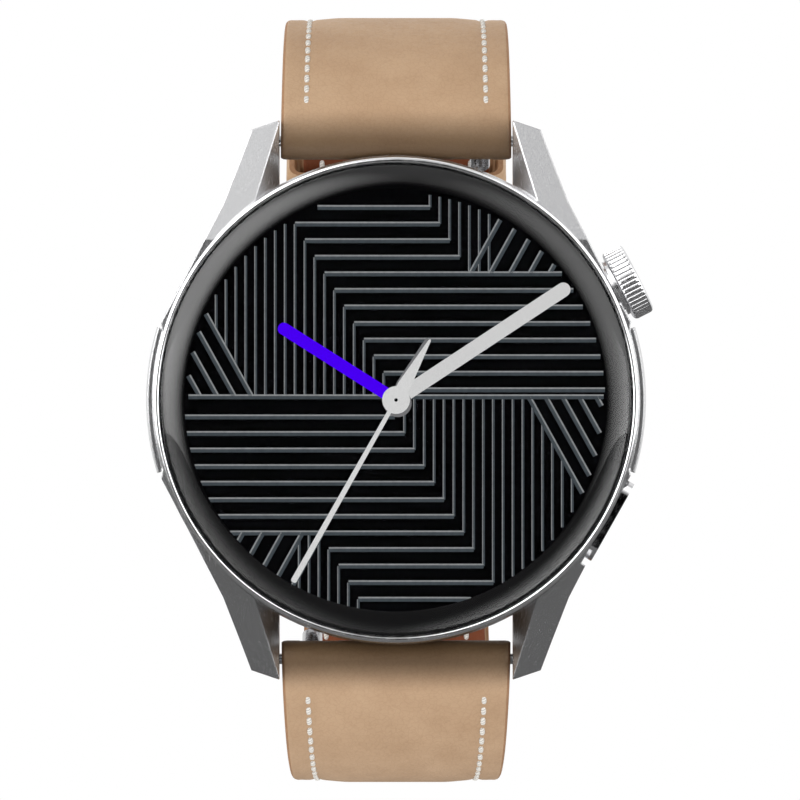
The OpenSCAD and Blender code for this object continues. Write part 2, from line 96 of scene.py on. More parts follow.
# The strap's middle line: a shoulder arc from the bar, then the loop behind the case
BAR_Y, BAR_Z = -3.2, 24.4
LOOP_Y, LOOP_R = 14.2, 35.5
SHOULDER_R, SHOULDER_TURN = 19.2, 65
SHOULDER_LEN = SHOULDER_R * math.radians(SHOULDER_TURN)
STRAP_T = 2.2
ROLL_R = 1.75
LINING_T = 0.85
FOLD_LEN = 4.6            # how far the leather comes back under itself at the bar
EDGE_ROUND = 0.5          # how far in the strap's edges are rounded
STITCH_INSET = 2.35
STITCH_PITCH, STITCH_LEN, STITCH_R = 1.42, 1.24, 0.25
FIRST_STITCH = 3.6
BUCKLE_ANGLE = 20
END_ROLL_R = 1.5
TIP_ANGLE, TIP_R = 14, 9
TAPER_Y = (-6, LOOP_Y, 41, 47)
UPPER_W = (STRAP_W, 21.2, 19.2, 18)
LOWER_W = (STRAP_W, 19.8, 18.4, 18)
UPPER_LEN = SHOULDER_LEN + LOOP_R * math.radians(90 - BUCKLE_ANGLE)
LOWER_LEN = SHOULDER_LEN + LOOP_R * math.radians(90 - TIP_ANGLE)
HOLES, FIRST_HOLE, HOLE_PITCH, HOLE_R = 6, 33, 6.5, 1.0

# Cuts in the strap, as the sizes of boxes: the release knob's notch at X 7.25, and the tongue's slot
NOTCH_AT, NOTCH_LEAN, NOTCH_BOX = (7.25, 0, -2.2), 40, (3.7, 2.6, 4.4)
SLOT_AT, SLOT_BOX = (0, 0, 0.6), (3.2, 8, 7.4)

# The keepers: their wall, the gaps in and out of the strap, their corners, and their turns round the loop
KEEPER_WALL, KEEPER_GAP, KEEPER_ROOM, KEEPER_CORNER = 1.1, 0.3, STRAP_T + 0.5, 1.6
FIXED_KEEPER_SPAN, FREE_KEEPER_SPAN = (23.5, 31.5), (32.5, 42)

# The displayed pattern: nested lines that step down and across, cut off at the display's edge
LINE_DX, LINE_DZ = 0.922, 1.55
FIRST_CORNER = (-9.44, 16.57)
FIRST_STOP = 3.18         # where the topmost line turns up
MIDLINE = 0.42
DIAL_R = 19.55
DIAL_DROP = 0.12          # the pattern sits a little low
WIDE, THIN = 0.46, 0.25
LEAN = math.radians(61)
LONG_LINE = 19.4          # half the length of the line across the middle

# The displayed hands: clock angles, as at about 10:09:35, and lengths
HOUR_ANGLE, MINUTE_ANGLE, SECOND_ANGLE = 302.4, 56.6, 209.5
HOUR_LEN, MINUTE_LEN, HUB_R = 13.0, 19.4, 1.3

# The studio: the floor's size and tones, and how brightly the room lights the leather
FLOOR_R, FLOOR_DROP = 0.6, 0.05      # in metres: its radius, and how far it is under the strap
FLOOR_WHITE, FLOOR_BOUNCE = 0.95, 1.0
FLOOR_GREY = (0.17, 0.17, 0.17, 1)
ROOM_SOFT = 0.36
# What the metals and the glass mirror: direction, cosine where it starts and where it is full, brightness
ROOM_LIGHTS = (
    ((0, 1, 0), -0.1, 0.45, 0.9),
    ((-0.75, -0.5, 0.42), 0.62, 1.0, 4.6),
    ((0.84, -0.5, 0.22), 0.55, 1.0, 2.6),
    ((-0.1, -0.25, 1), 0.5, 1.0, 0.62),
    ((-1, 0, 0.05), 0.85, 1.0, 0.6),
)

# Lamps: name, place and size in metres, and power
LAMPS = (
    ("lamp_left", (-0.62, -0.42, 0.3), (0.35, 0.6), 2.4),
    ("lamp_right", (0.62, -0.36, 0.2), (0.25, 0.5), 1.3),
    ("lamp_top", (-0.12, -0.35, 0.7), (0.8, 0.5), 1.2),
    ("lamp_low", (0.0, -0.6, 0.0), (1.1, 0.06), 1.0),
    ("lamp_back", (0.1, 0.8, 0.35), (0.7, 0.5), 2.0),
)
# The camera, in metres: how far it stands from the bezel, what width it sees there, and its shift in X
CAMERA_FAR, CAMERA_SEES, CAMERA_X = 0.770, 0.07477, 0.00037

# How far the leather's creases wander
CREASE_WANDER = 0.9

# How much the displayed picture's pixels vary
FLICKER = 0.03

# Painted shade: the colour the leather is darkened towards where it folds round the bar, where shade falls
FOLD_SHADE_COLOUR = (0.26, 0.24, 0.2, 1)


def srgb(r, g, b):
    """Linear colour of an 8-bit screen colour."""
    linear = [((c / 255 + 0.055) / 1.055) ** 2.4 if c > 10 else c / 255 / 12.92 for c in (r, g, b)]
    return tuple(linear) + (1,)


def dimmed(colour, share):
    """A colour with a share of its brightness."""
    return tuple(c * share for c in colour[:3]) + (1,)


# ---------- materials ----------

def set_range(node, from_min, from_max, to_min, to_max):
    """Sets the four ends of a Map Range node."""
    ends = {"From Min": from_min, "From Max": from_max, "To Min": to_min, "To Max": to_max}
    for socket, number in ends.items():
        node.inputs[socket].default_value = number


class Shader:
    """A material's node tree, with short ways to add the nodes used here."""

    def __init__(self, name, base, roughness, metallic=0.0, **values):
        self.mat = bpy.data.materials.new(name)
        self.mat.use_nodes = True
        self.tree = self.mat.node_tree
        self.bsdf = self.tree.nodes["Principled BSDF"]
        self.set("Base Color", base)
        self.set("Roughness", roughness)
        self.set("Metallic", metallic)
        for key, value in values.items():
            self.set(key.replace("_", " "), value)

    def set(self, socket, value):
        """Sets a socket of the surface's shader."""
        self.bsdf.inputs[socket].default_value = value

    def add(self, kind, **values):
        """A new node, with values for its sockets or its settings."""
        node = self.tree.nodes.new(kind)
        for key, value in values.items():
            if key in node.inputs:
                node.inputs[key].default_value = value
            else:
                setattr(node, key, value)
        return node

    def link(self, out, into):
        self.tree.links.new(out, into)

    def coords(self, scale=(1, 1, 1), kind="Object"):
        source = self.add("ShaderNodeTexCoord")
        mapping = self.add("ShaderNodeMapping", Scale=scale)
        self.link(source.outputs[kind], mapping.inputs["Vector"])
        return mapping.outputs["Vector"]

    def noise(self, vector, scale, detail=3.0, roughness=0.5):
        node = self.add("ShaderNodeTexNoise", Scale=scale, Detail=detail, Roughness=roughness)
        self.link(vector, node.inputs["Vector"])
        return node.outputs["Fac"]

    def span(self, value, low, high, lo_in=0.0, hi_in=1.0):
        """A value moved from one range to another."""
        node = self.add("ShaderNodeMapRange")
        set_range(node, lo_in, hi_in, low, high)
        self.link(value, node.inputs["Value"])
        return node.outputs["Result"]

    def ramp(self, value, *stops):
        node = self.add("ShaderNodeValToRGB")
        marks = node.color_ramp.elements
        while len(marks) < len(stops):
            marks.new(0.5)
        for mark, (place, colour) in zip(marks, stops):
            mark.position = place
            mark.color = colour
        self.link(value, node.inputs["Fac"])
        return node.outputs["Color"]

    def bump(self, height, distance, strength=1.0, after=None):
        node = self.add("ShaderNodeBump", Strength=strength, Distance=distance)
        self.link(height, node.inputs["Height"])
        if after is not None:
            self.link(after, node.inputs["Normal"])
        return node.outputs["Normal"]

    def times(self, first, second, share=1.0):
        """One colour multiplied by another, to a share."""
        node = self.add("ShaderNodeMix", data_type="RGBA", blend_type="MULTIPLY")
        node.inputs[0].default_value = share
        self.link(first, node.inputs[6])
        self.link(second, node.inputs[7])
        return node.outputs[2]

    def rounded(self, radius_mm):
        """A normal that rounds the sharp edges."""
        return self.add("ShaderNodeBevel", Radius=radius_mm * MM, samples=4).outputs["Normal"]

    def drive(self, socket, output):
        """Feeds a socket of the surface's shader."""
        self.link(output, self.bsdf.inputs[socket])


def brushed(name, base, roughness, grain, bevel=0.12, depth=0.0016, spread=0.09):
    """Metal with a fine straight grain; grain is the stretch of the noise along X, Y and Z."""
    s = Shader(name, base, roughness, 1.0)
    fine = s.noise(s.coords(grain), 1.0, 4.0, 0.6)
    wide = s.noise(s.coords(), 60.0, 2.0)
    s.drive("Roughness", s.span(fine, roughness - spread, roughness + spread, 0.3, 0.7))
    s.drive("Base Color", s.ramp(wide, (0.3, dimmed(base, 0.93)), (0.7, base)))
    s.drive("Normal", s.bump(fine, depth * MM, 0.6, s.rounded(bevel)))
    return s.mat


def polished(name, base, roughness=0.07, bevel=0.06):
    """Metal polished to a mirror, with faint handling marks."""
    s = Shader(name, base, roughness, 1.0)
    marks = s.noise(s.coords(), 900.0, 4.0, 0.7)
    s.drive("Roughness", s.span(marks, roughness * 0.6, roughness * 1.8, 0.35, 0.75))
    s.drive("Normal", s.bump(marks, 0.0006 * MM, 0.4, s.rounded(bevel)))
    return s.mat


def moulded(name, base, roughness=0.5, grain=2500.0, depth=0.01, **values):
    """Moulded plastic, rubber or ceramic with a fine texture."""
    s = Shader(name, base, roughness, 0.0, **values)
    fine = s.noise(s.coords(), grain, 3.0)
    wide = s.noise(s.coords(), 90.0, 2.0)
    s.drive("Roughness", s.span(fine, roughness - 0.07, roughness + 0.1, 0.3, 0.7))
    s.drive("Base Color", s.ramp(wide, (0.3, dimmed(base, 0.8)), (0.7, base)))
    s.drive("Normal", s.bump(fine, depth * MM, 0.5, s.rounded(0.08)))
    return s.mat


def leather(name, dark, light, roughness=0.5, grain_depth=0.012, pores=2400.0, folded=False):
    """Smooth leather: fine grain, darker creases and soft mottling. folded paints shade into the colour
    where the UV marks the fold round the bar.
    """
    s = Shader(name, light, roughness)
    place = s.coords()
    cells = s.add("ShaderNodeTexVoronoi", Scale=pores, feature="F1")
    cracks = s.add("ShaderNodeTexVoronoi", Scale=pores * 0.8, feature="DISTANCE_TO_EDGE")
    warp = s.noise(place, pores * 0.25, 3.0)
    shift = s.add("ShaderNodeVectorMath", operation="MULTIPLY_ADD")
    shift.inputs[1].default_value = (CREASE_WANDER * MM,) * 3
    wobble = s.add("ShaderNodeTexNoise", Scale=pores * 0.5, Detail=2.0)
    s.link(place, wobble.inputs["Vector"])
    s.link(wobble.outputs["Color"], shift.inputs[0])
    s.link(place, shift.inputs[2])
    s.link(shift.outputs["Vector"], cells.inputs["Vector"])
    s.link(shift.outputs["Vector"], cracks.inputs["Vector"])
    mottle = s.noise(place, 110.0, 4.0, 0.6)
    speck = s.noise(place, pores * 0.8, 3.0, 0.7)
    base = s.ramp(mottle, (0.25, dark), (0.62, light))
    # Darker colour in the fine creases of the grain.
    crease_darkening = s.ramp(s.span(cracks.outputs["Distance"], 0.0, 1.0, 0.0, 0.09),
                   (0.0, (0.72, 0.66, 0.6, 1)), (1.0, WHITE))
    colour = s.times(base, crease_darkening, 0.3)
    # Painted shade: the colour darkens where the leather folds round the bar, read from the UV's second
    # value.
    if folded:
        fold_shade = s.add("ShaderNodeSeparateXYZ")
        s.link(s.coords(kind="UV"), fold_shade.inputs["Vector"])
        colour = s.times(colour, s.ramp(fold_shade.outputs["Y"], (0.0, FOLD_SHADE_COLOUR), (1.0, WHITE)))
    s.drive("Base Color", colour)
    s.drive("Roughness", s.span(speck, roughness - 0.08, roughness + 0.14, 0.3, 0.7))
    first = s.bump(s.span(cracks.outputs["Distance"], 0.0, 1.0, 0.0, 0.16), grain_depth * MM, 0.8)
    second = s.bump(warp, grain_depth * 1.5 * MM, 0.4, first)
    s.drive("Normal", s.bump(cells.outputs["Distance"], grain_depth * 0.4 * MM, 0.5, second))
    s.set("Specular IOR Level", 0.4)
    return s.mat


def thread(name, base):
    """Waxed thread: the plies twist along each stitch, whose UV runs along and round it."""
    s = Shader(name, base, 0.6)
    uv = s.coords(kind="UV")
    twist = s.add("ShaderNodeTexWave", Scale=1.6, Distortion=0.0, bands_direction="DIAGONAL")
    s.link(uv, twist.inputs["Vector"])
    s.drive("Base Color", s.ramp(twist.outputs["Fac"], (0.1, dimmed(base, 0.62)), (0.55, base)))
    fuzz = s.noise(s.coords(), 6000.0, 2.0)
    s.drive("Roughness", s.span(fuzz, 0.5, 0.75))
    s.drive("Normal", s.bump(twist.outputs["Fac"], 0.05 * MM, 0.8))
    return s.mat


def lit(name, colour):
    """A part of the displayed picture, which gives its own light, with a faint pixel grain."""
    s = Shader(name, (0, 0, 0, 1), 0.5)
    grain = s.noise(s.coords(), 9000.0, 1.0)
    dim = dimmed(colour, 1 - FLICKER * 3)
    s.drive("Emission Color", s.ramp(grain, (0.35, dim), (0.65, colour)))
    s.set("Emission Strength", 1.0)
    s.set("Specular IOR Level", 0.0)
    return s.mat


def lit_line(name, edge, body):
    """A displayed line with a bright edge: its UV's second value runs across it."""
    s = Shader(name, (0, 0, 0, 1), 0.5)
    uv = s.coords(kind="UV")
    parts = s.add("ShaderNodeSeparateXYZ")
    s.link(uv, parts.inputs["Vector"])
    grain = s.noise(s.coords(), 2500.0, 2.0)
    across = ((0.0, dimmed(body, 0.8)), (0.2, body), (0.62, body), (0.74, edge), (0.95, edge), (1.0, body))
    tone = s.ramp(parts.outputs["Y"], *across)
    s.drive("Emission Color", s.times(tone, s.ramp(grain, (0.3, (0.8, 0.8, 0.8, 1)), (0.7, WHITE))))
    s.set("Emission Strength", 1.0)
    s.set("Specular IOR Level", 0.0)
    return s.mat


def make_materials():
    """Every material, by the record's slot name or a name of its own."""
    steel = (0.62, 0.62, 0.63, 1)
    m = {
        "case_steel": brushed("case_steel", (0.68, 0.68, 0.69, 1), 0.25, (14000, 14000, 420),
                              bevel=0.2, depth=0.00002, spread=0.03),
        "bezel_steel": polished("bezel_steel", (0.86, 0.86, 0.87, 1), 0.16),
        "button_steel": polished("button_steel", (0.74, 0.74, 0.75, 1), 0.12),
        "crown_steel": brushed("crown_steel", (0.8, 0.8, 0.81, 1), 0.22, (3000, 3000, 3000), 0.03, 0.0004),
        "pin_steel": brushed("pin_steel", steel, 0.25, (300, 9000, 9000), 0.03),
        "buckle_steel": brushed("buckle_steel", steel, 0.27, (9000, 600, 600), 0.3),
        "screw_steel": brushed("screw_steel", (0.5, 0.5, 0.51, 1), 0.3, (4000, 4000, 4000), 0.04),
        "shield_metal": brushed("shield_metal", (0.7, 0.7, 0.7, 1), 0.3, (5000, 800, 800)),
        "motor_steel": brushed("motor_steel", steel, 0.3, (800, 5000, 800)),
        "mesh_metal": brushed("mesh_metal", (0.12, 0.12, 0.12, 1), 0.5, (6000, 6000, 6000)),
        "cell_foil": brushed("cell_foil", (0.45, 0.46, 0.48, 1), 0.45, (900, 900, 900)),
        "contact_gold": brushed("contact_gold", (0.8, 0.6, 0.25, 1), 0.25, (3000, 3000, 3000)),
        "bushing_brass": brushed("bushing_brass", (0.75, 0.58, 0.28, 1), 0.25, (3000, 3000, 3000)),
        "coil_copper": brushed("coil_copper", (0.72, 0.38, 0.2, 1), 0.35, (4000, 900, 4000)),
        "seal_rubber": moulded("seal_rubber", (0.02, 0.02, 0.02, 1), 0.7),
        "inner_plastic": moulded("inner_plastic", (0.045, 0.045, 0.048, 1), 0.55),
        "circuit_board": moulded("circuit_board", (0.015, 0.1, 0.045, 1), 0.4),
        "chip_black": moulded("chip_black", (0.02, 0.02, 0.02, 1), 0.5),
        "magnet": moulded("magnet", (0.08, 0.08, 0.08, 1), 0.5),
        "flex_film": moulded("flex_film", (0.65, 0.28, 0.03, 1), 0.3),
        "back_ceramic": moulded("back_ceramic", (0.035, 0.036, 0.04, 1), 0.32, 3500.0, 0.004,
                                Coat_Weight=0.3),
        "display": moulded("display", (0.004, 0.004, 0.005, 1), 0.35, Specular_IOR_Level=0.0),
        "sensor_glass": moulded("sensor_glass", (0.006, 0.006, 0.008, 1), 0.08, 400.0, 0.001,
                                Coat_Weight=1.0),
        "tan_leather": leather("tan_leather", srgb(176, 141, 107), srgb(194, 160, 126)),
        "tan_edge": leather("tan_edge", srgb(150, 112, 80), srgb(168, 128, 94), 0.6, 0.03, 3000.0),
        # folded=True paints shade into the strap leather's and edge's colour where they fold round the bar.
        "strap_leather": leather("strap_leather", srgb(172, 139, 107), srgb(190, 158, 126), folded=True),
        "strap_edge": leather("strap_edge", srgb(150, 112, 80), srgb(168, 128, 94), 0.6, 0.03, 3000.0,
                              folded=True),
        "rust_lining": leather("rust_lining", srgb(88, 42, 20), srgb(112, 58, 30), 0.7, 0.02, 1900.0),
        "thread": thread("thread", srgb(236, 232, 224)),
    }
    m["cover_glass"] = glass_material()
    m["border_ink"] = lit("border_ink", (0.0025, 0.0025, 0.0028, 1))
    return m


def glass_material():
    """Clear cover glass with faint smears in its gloss."""
    s = Shader("cover_glass", WHITE, 0.0, 0.0, Transmission_Weight=1.0, IOR=1.5)
    smear = s.noise(s.coords(), 45.0, 3.0)
    s.drive("Roughness", s.span(smear, 0.0, 0.02, 0.5, 0.9))
    return s.mat


# ---------- meshes ----------

def make_piece(name, verts, faces, materials, body, uvs=None, face_slots=None, smooth=True):
    """A mesh object from points in mm, riding on a body. uvs holds one pair per face corner."""
    mesh = bpy.data.meshes.new(name)
    mesh.from_pydata([tuple(c * MM for c in v) for v in verts], [], faces)
    for material in materials:
        mesh.materials.append(material)
    if face_slots:
        mesh.polygons.foreach_set("material_index", face_slots)
    if uvs:
        layer = mesh.uv_layers.new(name="UVMap")
        layer.data.foreach_set("uv", [c for uv in uvs for c in uv])
    mesh.polygons.foreach_set("use_smooth", [smooth] * len(mesh.polygons))
    mesh.validate()
    mesh.update()
    obj = bpy.data.objects.new(name, mesh)
    bpy.context.scene.collection.objects.link(obj)
    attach(obj, body)
    return obj


def lathe(name, outline, material, body, segments=256):
    """Spins a closed outline of radius and height round the dial's axis."""
    verts = []
    for i in range(segments):
        a = 2 * math.pi * i / segments
        verts += [(r * math.cos(a), -h, r * math.sin(a)) for r, h in outline]
    n = len(outline)
    faces = []
    for i in range(segments):
        for j in range(n):
            a, b = i * n + j, i * n + (j + 1) % n
            c, d = ((i + 1) % segments) * n + (j + 1) % n, ((i + 1) % segments) * n + j
            faces.append((a, b, c, d))
    obj = make_piece(name, verts, faces, [material], body)
    clean(obj)
    sharpen(obj, 35)
    return obj


def clean(obj, distance=0.0004):
    """Merges points that meet, drops faces without area and turns normals outward."""
    b = bmesh.new()
    b.from_mesh(obj.data)
    bmesh.ops.remove_doubles(b, verts=b.verts, dist=distance * MM)
    bmesh.ops.dissolve_degenerate(b, edges=b.edges, dist=distance * MM / 4)
    bmesh.ops.recalc_face_normals(b, faces=b.faces)
    b.to_mesh(obj.data)
    b.free()


def sharpen(obj, angle):
    """Keeps edges steeper than an angle sharp in smooth shading."""
    obj.data.set_sharp_from_angle(angle=math.radians(angle))


def arc(centre, radius, start, end, steps):
    """Points on an arc, in degrees."""
    turns = [math.radians(start + (end - start) * i / steps) for i in range(steps + 1)]
    return [(centre[0] + radius * math.cos(t), centre[1] + radius * math.sin(t)) for t in turns]


# ---------- strap ----------

def strap_point(s):
    """Middle of the strap at a length s from the bar: its place and its direction, as Y and Z."""
    if s <= SHOULDER_LEN:
        a = math.radians(90 + SHOULDER_TURN) - max(s, 0) / SHOULDER_R
        place = Vector((LOOP_Y + SHOULDER_R * math.cos(a), LOOP_R - SHOULDER_R + SHOULDER_R * math.sin(a)))
    else:
        a = math.radians(90) - (s - SHOULDER_LEN) / LOOP_R
        place = Vector((LOOP_Y + LOOP_R * math.cos(a), LOOP_R * math.sin(a)))
    along = Vector((math.sin(a), -math.cos(a)))
    return place + along * min(s, 0), along


def width_at(widths, y):
    """Half of the strap's width at a depth."""
    for i in range(len(TAPER_Y) - 1):
        if y < TAPER_Y[i + 1]:
            f = max(0.0, (y - TAPER_Y[i]) / (TAPER_Y[i + 1] - TAPER_Y[i]))
            return (widths[i] + (widths[i + 1] - widths[i]) * f) / 2
    return widths[-1] / 2


def smoothstep(x):
    """Eases from 0 to 1."""
    x = min(1.0, max(0.0, x))
    return x * x * (3 - 2 * x)


class Half:
    """One half of the strap: which way it points, how wide it is and how it ends."""

    def __init__(self, side, widths, length, rolled_end):
        self.side, self.widths, self.length, self.rolled_end = side, widths, length, rolled_end

    def half_width(self, s):
        """Half the width at a length, with the tail's round tip."""
        w = width_at(self.widths, strap_point(s)[0][0])
        left = self.length - s
        if not self.rolled_end and left < w:
            w *= math.sqrt(max(0.0, 1 - (1 - left / w) ** 2))
        return w

    def top(self, s):
        """Distance of the outer face from the middle of the strap."""
        if s < 0:
            return math.sqrt(max(0.0, ROLL_R ** 2 - s * s))
        t = STRAP_T / 2 + (ROLL_R - STRAP_T / 2) * (1 - smoothstep(s / 7))
        if self.rolled_end:
            t = self.end_roll(s, t)
        return t

    def end_roll(self, s, t):
        """The outer face where the leather goes round the buckle's bar."""
        over = s - self.length
        if over > 0:
            return math.sqrt(max(0.0, END_ROLL_R ** 2 - over * over))
        return t + (END_ROLL_R - STRAP_T / 2) * (1 - smoothstep(-over / 4))

    def crown(self, s, x, w):
        """Soft padding between the stitch rows and the groove that they pull."""
        edge = w - abs(x)
        fade = smoothstep((s - 1) / 6) * smoothstep((self.length - s) / 6)
        groove = -0.16 * math.exp(-((edge - STITCH_INSET) / 0.38) ** 2)
        pad = 0.2 * smoothstep((edge - STITCH_INSET) / 3.2)
        crease = -0.05 * math.exp(-((edge - 0.75) / 0.14) ** 2)
        return fade * (groove + pad + crease)

    def place(self, s, x, offset):
        """A point at a length, a distance from the middle line and a height over the strap's middle."""
        p, along = strap_point(s)
        out = Vector((-along[1], along[0]))
        q = p + out * offset
        return (x, q[0], q[1] * self.side)


def columns(w, step=0.42, soft=EDGE_ROUND):
    """Places across a strap, closer together at its rounded edges."""
    w = max(w, 0.02)
    soft = min(soft, w * 0.5)
    edge = [w - soft * (1 - math.cos(math.radians(a))) for a in (0, 20, 40, 60, 90)]
    count = max(2, round(2 * (STRAP_W / 2 - EDGE_ROUND) / step))
    middle = [-(w - soft) + 2 * (w - soft) * i / count for i in range(1, count)]
    return [-x for x in edge] + middle + edge[::-1]


def rounding(x, w, soft=EDGE_ROUND):
    """How far a face falls at the strap's rounded edge."""
    soft = min(soft, w * 0.5)
    over = max(0.0, abs(x) - (w - soft))
    return soft - math.sqrt(max(0.0, soft * soft - over * over)) if soft > 0 else 0.0


def strap_lengths(half, start, end, step=0.55):
    """Lengths at which the strap is drawn, closer together at its round ends."""
    count = round((end - start) / step)
    rows = [start + (end - start) * i / count for i in range(count + 1)]
    if start < 0:
        roll = [-ROLL_R * math.cos(math.radians(a)) for a in range(0, 90, 9)]
        rows = roll + [s for s in rows if s > 0]
    if half.rolled_end and end > half.length:
        rows = [s for s in rows if s < half.length]
        rows += [half.length + END_ROLL_R * math.sin(math.radians(a)) for a in range(0, 91, 9)]
    if not half.rolled_end:
        tip = [end - TIP_R * (1 - math.sin(math.radians(a))) for a in range(0, 91, 4)]
        rows = [s for s in rows if s < end - TIP_R] + tip
    return rows


def strap_skin(name, half, body, start, end, layer, materials, inset=0.0):
    """One layer of a strap half, as a closed mesh. layer gives its top and bottom at s, x and w.

    The UV's second value is 0 where the leather is folded round the bar, and 1 away from it; it masks the
    painted shade at that fold.
    """
    verts, faces, slots, uvs = [], [], [], []
    rows = strap_lengths(half, start, end)
    # Mask for the painted shade where the leather folds round the bar: 0 at the fold, 1 away from it.
    fold_shade = [smoothstep((s + 0.8) / 3.6) for s in rows]
    for s in rows:
        w = max(half.half_width(s) - inset, 0.02)
        xs = columns(w)
        tops = [half.place(s, x, layer(s, x, w)[0]) for x in xs]
        lows = [half.place(s, x, layer(s, x, w)[1]) for x in reversed(xs)]
        verts += tops + lows
    n = len(columns(STRAP_W / 2))
    ring = 2 * n
    for i in range(len(rows) - 1):
        for j in range(ring):
            a, b = i * ring + j, i * ring + (j + 1) % ring
            faces.append((a, b, b + ring, a + ring))
            uvs += [(j / ring, fold_shade[k]) for k in (i, i, i + 1, i + 1)]
            side = j < 3 or n - 4 <= j < n + 3 or j >= ring - 4
            slots.append(1 if side else 0)
    faces += [tuple(range(ring)), tuple(range(len(verts) - 1, len(verts) - ring - 1, -1))]
    slots += [1, 1]
    uvs += [(0, fold_shade[0])] * ring + [(0, fold_shade[-1])] * ring
    obj = make_piece(name, verts, faces, materials, body, uvs=uvs, face_slots=slots)
    clean(obj)
    sharpen(obj, 50)
    return obj


def outer_layer(half):
    """Top and bottom of the outer leather."""
    def layer(s, x, w):
        t = half.top(s)
        drop = rounding(x, w)
        top = max(t + half.crown(s, x, w) - drop, 0.0)
        folded = s < FOLD_LEN or (half.rolled_end and s > half.length - 5)
        bottom = -max(t - drop, 0.0) if folded else -STRAP_T / 2 + LINING_T - 0.02
        return top, min(bottom, top)
    return layer


def lining_layer(half):
    """Top and bottom of the lining."""
    def layer(s, x, w):
        edge = w - abs(x)
        groove = 0.1 * math.exp(-((edge - STITCH_INSET + 0.5) / 0.3) ** 2)
        return -STRAP_T / 2 + LINING_T, -STRAP_T / 2 + 0.5 * rounding(x, w) + groove
    return layer


def cut(obj, tools):
    """Cuts closed shapes out of a piece."""
    for tool in tools:
        m = obj.modifiers.new("cut", "BOOLEAN")
        m.object = tool
        m.operation = "DIFFERENCE"
        m.solver = "EXACT"
        bpy.context.view_layer.update()
        with bpy.context.temp_override(object=obj, active_object=obj, selected_objects=[obj]):
            bpy.ops.object.modifier_apply(modifier=m.name)
    for tool in tools:
        data = tool.data
        bpy.data.objects.remove(tool)
        bpy.data.meshes.remove(data)


def cutter(build, matrix):
    """A closed shape for cutting, built in a bmesh and placed by a matrix in mm."""
    b = bmesh.new()
    build(b)
    bmesh.ops.transform(b, matrix=Matrix.Scale(MM, 4) @ matrix, verts=b.verts)
    bmesh.ops.recalc_face_normals(b, faces=b.faces)
    mesh = bpy.data.meshes.new("cutter")
    b.to_mesh(mesh)
    b.free()
    obj = bpy.data.objects.new("cutter", mesh)
    bpy.context.scene.collection.objects.link(obj)
    return obj


def punch(b):
    """Builds a rod as wide as a buckle hole."""
    bmesh.ops.create_cone(b, cap_ends=True, segments=40, radius1=HOLE_R, radius2=HOLE_R, depth=6)


def hole_tools():
    """A punch for each buckle hole of the lower half."""
    tools = []
    for i in range(HOLES):
        a = math.radians(-FIRST_HOLE) - i * HOLE_PITCH / LOOP_R
        place = Matrix.Translation((0, LOOP_Y + LOOP_R * math.cos(a), LOOP_R * math.sin(a)))
        turn = Matrix.Rotation(a - math.pi / 2, 4, "X")
        tools.append(cutter(punch, place @ turn))
    return tools


def box_builder(size):
    """Builds a box of a size about its middle."""
    def build(b):
        bmesh.ops.create_cube(b, size=1.0)
        bmesh.ops.scale(b, vec=size, verts=b.verts)
    return build


def notch_tool(side):
    """The notch at the bar that frees the release knob."""
    turn = Matrix.Rotation(0 if side > 0 else math.pi, 4, "Y")
    lean = Matrix.Rotation(math.radians(NOTCH_LEAN), 4, "X")
    matrix = turn @ Matrix.Translation((0, BAR_Y, BAR_Z)) @ lean @ Matrix.Translation(NOTCH_AT)
    return cutter(box_builder(NOTCH_BOX), matrix)


def tongue_tool():
    """The slot for the buckle's tongue in the end of the upper half."""
    a = math.radians(BUCKLE_ANGLE)
    place = Matrix.Translation((0, LOOP_Y + LOOP_R * math.cos(a), LOOP_R * math.sin(a)))
    matrix = place @ Matrix.Rotation(a, 4, "X") @ Matrix.Translation(SLOT_AT)
    return cutter(box_builder(SLOT_BOX), matrix)


def stitch_mesh(name, rows, material, body):
    """Stitches as small rounded threads: rows holds a place, a direction and an up for each."""
    radius, rings, sides = STITCH_R, 9, 8
    verts, faces, uvs = [], [], []
    for place, along, up in rows:
        across = along.cross(up)
        start = len(verts)
        for i in range(rings):
            f = i / (rings - 1) * 2 - 1
            bulge = math.sqrt(max(0.02, 1 - abs(f) ** 3.2))
            sink = -0.16 * abs(f) ** 4
            for j in range(sides):
                a = 2 * math.pi * j / sides
                v = place + along * (f * STITCH_LEN / 2) + up * (sink + 0.75 * radius * bulge * math.sin(a))
                v = v + across * (radius * bulge * math.cos(a))
                verts.append(tuple(v))
        for i in range(rings - 1):
            for j in range(sides):
                k = (j + 1) % sides
                faces.append((start + i * sides + j, start + i * sides + k,
                              start + (i + 1) * sides + k, start + (i + 1) * sides + j))
                u0, u1 = i / (rings - 1) * 1.6, (i + 1) / (rings - 1) * 1.6
                uvs += [(u0, j / sides), (u0, (j + 1) / sides), (u1, (j + 1) / sides), (u1, j / sides)]
        for i, order in ((0, -1), (rings - 1, 1)):
            ring = [start + i * sides + j for j in range(sides)][::order]
            faces.append(tuple(ring))
            uvs += [(0, 0)] * sides
    return make_piece(name, verts, faces, [material], body, uvs=uvs)


def stitch_rows(half, start, end, height, up_sign, inset):
    """Places for the stitches of both rows of a strap half."""
    rows = []
    count = int((end - start) / STITCH_PITCH)
    for i in range(count + 1):
        s = start + i * STITCH_PITCH
        w = half.half_width(s)
        if w < inset + 1:
            continue
        p0 = Vector(half.place(s - 0.2, 0, 0))
        p1 = Vector(half.place(s + 0.2, 0, 0))
        along = (p1 - p0).normalized()
        up = (Vector(half.place(s, 0, 1)) - Vector(half.place(s, 0, 0))).normalized() * up_sign
        for flank in (-1, 1):
            x = flank * (w - inset)
            rows.append((Vector(half.place(s, x, height(s))), along, up))
    return rows


